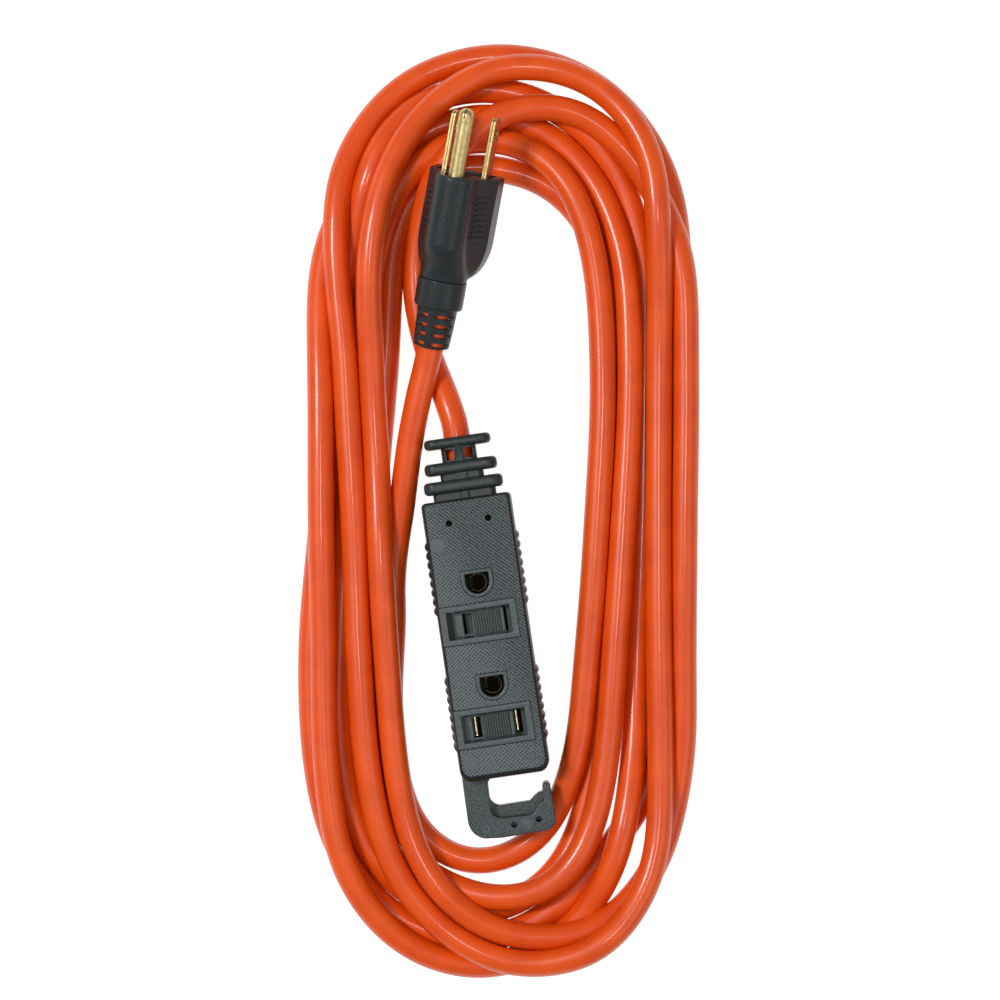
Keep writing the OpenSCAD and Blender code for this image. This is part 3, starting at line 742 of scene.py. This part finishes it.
make_tap_body()
make_hook()
make_rims()
make_shutter("upper_shutter_slide_piece", "shutter_upper", "upper_shutter", WINDOW_YS[0], TRAVEL)
make_shutter("lower_shutter_slide_piece", "shutter_lower", "lower_shutter", WINDOW_YS[1], 0.0)
make_relief()
make_marks()
make_contacts()

# ---------------------------------------------------------------- plug

PIN_UP = 6.5
BLADE_UP = -5.4


def plug_section(x, z, y):
    """How far a point lies outside the plug's moulding at a depth behind its front, in mm."""
    def trapezoid(half_w, low, knee, top, top_w, r):
        """A flat-bottomed shape with upright low sides and slopes up to its top."""
        ax = np.abs(x)
        run, rise = half_w - top_w, top - knee
        slope = ((ax - half_w) * rise + (z - knee) * run) / math.hypot(run, rise)
        far = np.stack([ax - half_w, low - z, z - top, slope]) + r
        return np.hypot(np.maximum(np.maximum(far[0], far[3]), 0), np.maximum(far[1:3].max(0), 0)
                        ) + np.minimum(far.max(0), 0) - r

    def blend(a, b, k):
        h = np.clip(0.5 + 0.5 * (b - a) / k, 0, 1)
        return b + (a - b) * h - k * h * (1 - h)

    def fall(start, end):
        t = np.clip((y - start) / (end - start), 0, 1)
        return np.sqrt(np.maximum(1 - t * t, 0))

    round_end = fall(19.5, 32.3)
    body = trapezoid(5.2 + 5.8 * round_end, -5.2 - 6.0 * round_end, -1.0 - 2.2 * round_end,
                     4.4 + 3.6 * fall(22.0, 32.3), 3.4 + 0.8 * round_end, 1.1)
    t = np.clip((y - 20.5) / 12.0, 0, 1)
    lift = 5.4 * (1 - t * t * (3 - 2 * t))
    spine = np.hypot(x, z - lift) - (6.4 + 1.0 * t)
    shape = blend(body, spine, 0.7) if y < 32.6 else 50.0
    collar = np.hypot(x, z) - (7.5 if y > 32.6 else 5.0)
    return np.minimum(shape, collar)


def make_plug_body():
    turn = np.linspace(0, math.tau, 241)[:-1]
    depths = [(0.0, 0.7), (0.06, 0.45), (0.2, 0.2), (0.45, 0.04), (0.8, 0.0)]
    depths += [(y, 0.0) for y in np.arange(1.8, 20, 1.0)]
    depths += [(y, 0.0) for y in np.arange(20, 32.2, 0.5)]
    depths += [(32.4, 0.15), (32.55, 0.5), (32.65, 0.3), (32.8, 0.05), (33.2, 0.0)]
    depths += [(36.5, 0.0), (40.7, 0.0), (41.1, 0.08), (41.35, 0.3), (41.5, 0.7)]
    rings = []
    for y, inset in depths:
        low, high = np.zeros_like(turn), np.full_like(turn, 20.0)
        for _ in range(26):
            r = 0.5 * (low + high)
            inside = plug_section(r * np.cos(turn), r * np.sin(turn), y) + inset < 0
            low, high = np.where(inside, r, low), np.where(inside, high, r)
        rings.append([(a * math.cos(t), -y, a * math.sin(t)) for a, t in zip(low, turn)])
    bm = bmesh.new()
    loft(bm, rings)
    cavity = drill(0, -1.0, 5.7, -60.0, -10.0, 32)
    front = cutter(rounded(-8.45, 8.45, -12.05, 2.0, 0.2), -9.65, -1.35)
    top = cutter(rounded(-3.45, 3.45, -12.05, 2.0, 0.2), -2.0, 8.95)
    bm = carve(bm, cavity, front, top)
    moulding = piece("plug_moulding", bm, plug_grey, replaces=("plug_body",),
                     place=PLUG_PLACE, sharp=35)
    bm = bmesh.new()
    lean = math.atan2(11.2, 6.8)                 # slope of the flanks
    for side in (-1, 1):
        for k in range(8):
            bar = bmesh.new()
            block_y(bar, -6.5 - 1.75 * k, -5.65 - 1.75 * k, 5.2, 0.9, 0.3, 0.25, steps=3)
            place = (Matrix.Translation((side * 8.35, 0, 1.15))
                     @ Matrix.Rotation(side * lean, 4, "Y"))
            bmesh.ops.transform(bar, matrix=place, verts=bar.verts)
            mesh = bpy.data.meshes.new("bar")
            bar.to_mesh(mesh)
            bar.free()
            bm.from_mesh(mesh)
            bpy.data.meshes.remove(mesh)
    bars = piece("plug_grip_bars", bm, plug_grey, replaces=("plug_body",),
                 place=PLUG_PLACE)
    return [moulding, bars]


def make_plug_relief():
    """Round sleeve that tapers from the collar to the cord, slotted between four ribs."""
    rings = []
    for y, r in ((34.5, 5.4), (41.45, 5.4), (41.46, 6.15), (47.5, 5.95), (53.3, 5.6), (53.8, 5.4),
                 (54.0, 5.0)):
        rings.append([(x, -y, z) for x, z in circle(0, 0, r, 48)])
    bm = bmesh.new()
    loft(bm, rings)
    cutters = [drill(0, 0, 4.15, -60.0, -20.0, 40)]
    for k in range(4):
        y = -43.1 - 2.95 * k
        for sx in (-1, 1):
            for sz in (-1, 1):
                x0, x1 = sorted((sx * 1.0, sx * 9.0))
                z0, z1 = sorted((sz * 1.1, sz * 9.0))
                cutters.append(cutter(rounded(x0, x1, y - 1.3, y, 0.35), z0, z1))
    bm = carve(bm, *cutters)
    return [piece("plug_relief", bm, plug_grey,
                  replaces=("plug_strain_relief",), place=PLUG_PLACE, sharp=35)]


def make_prongs():
    """Two folded blades with locking holes, and a round pin with a seam at its tip."""
    prongs = []
    swing = Matrix.Rotation(math.radians(90), 4, "Y")      # outline (z, y) to a plate across x
    for name, node, x in (("line_blade_folded", "line_blade", BLADE_X),
                          ("neutral_blade_folded", "neutral_blade", -BLADE_X)):
        bm = bmesh.new()
        tip = 17.9
        outline = [(-3.175, -12.0), (3.175, -12.0), (3.175, tip - 1.4), (2.3, tip - 0.25),
                   (1.6, tip), (-1.6, tip), (-2.3, tip - 0.25), (-3.175, tip - 1.4)]
        hole = circle(0, tip - 4.5, 1.6, 28)
        for z0, z1 in ((-0.75, -0.04), (0.04, 0.75)):
            slab(bm, [outline, hole], z0, z1, 0.16)
        slab(bm, [[(-3.0, -11.8), (3.0, -11.8), (3.0, tip - 7.0), (-3.0, tip - 7.0)]], -0.1, 0.1)
        prongs.append(piece(name, bm, brass, replaces=(node,),
                            place=PLUG_PLACE @ Matrix.Translation((x, 0, BLADE_UP)) @ swing))
    rings = [(-13.9, 2.0), (-0.3, 2.0), (-0.2, 2.375), (20.6 - 2.375, 2.375)]
    rings += [(20.6 - 2.375 + 2.375 * math.sin(math.radians(a)), 2.375 * math.cos(math.radians(a)))
              for a in range(10, 90, 10)]
    bm = bmesh.new()
    loft(bm, [[(x, y, z) for x, z in circle(0, 0, r, 40)] for y, r in rings])
    seam = cutter(rectangle(-0.17, 0.17, 17.6, 21.0), -0.6, 3.0)
    seam_low = cutter(rectangle(-0.17, 0.17, 19.2, 21.0), -3.0, -0.5)
    bm = carve(bm, seam, seam_low)
    prongs.append(piece("ground_pin_rolled", bm, brass,
                        replaces=("ground_pin",),
                        place=PLUG_PLACE @ Matrix.Translation((0, 0, PIN_UP)), sharp=30))
    return prongs


plug_pieces = make_plug_body() + make_plug_relief() + make_prongs()
plug_pieces += [nodes[n] for n in ("plug_bridge", "plug_crimps", "plug_line_wire",
                                   "plug_neutral_wire", "plug_ground_wire", "plug_cord_stub")]

# ---------------------------------------------------------------- stage

def make_stage():
    bpy.ops.mesh.primitive_plane_add(size=6.0, location=(*CAMERA_FOOT, -0.0002))
    floor = bpy.context.object
    floor.name = "floor"
    white = new_material("floor_white", (0.3, 0.3, 0.3), 0.9)
    shader = white.node_tree.nodes["Principled BSDF"]
    shader.inputs["Specular IOR Level"].default_value = 0.0
    shader.inputs["Emission Color"].default_value = (1, 1, 1, 1)
    shader.inputs["Emission Strength"].default_value = 0.93
    floor.data.materials.append(white)

    def area(name, place, size, power):
        data = bpy.data.lights.new(name, "AREA")
        data.shape = "RECTANGLE"
        data.size, data.size_y = size
        data.energy = power
        light = bpy.data.objects.new(name, data)
        light.location = place
        aim = Vector((*CAMERA_FOOT, 0.0)) - Vector(place)
        light.rotation_euler = aim.to_track_quat("-Z", "Y").to_euler()
        bpy.context.scene.collection.objects.link(light)

    area("key", (-0.72, 0.42, 1.25), (0.3, 0.3), 13)
    area("fill", (0.9, -0.5, 1.2), (0.9, 0.9), 4)
    area("front", (0.03, 0.06, 1.7), (0.2, 0.2), 3.5)
    world = bpy.data.worlds.new("world")
    world.use_nodes = True
    world.node_tree.nodes["Background"].inputs["Color"].default_value = (1, 1, 1, 1)
    world.node_tree.nodes["Background"].inputs["Strength"].default_value = 0.3
    bpy.context.scene.world = world
    bpy.context.scene.view_settings.view_transform = "Standard"


make_stage()
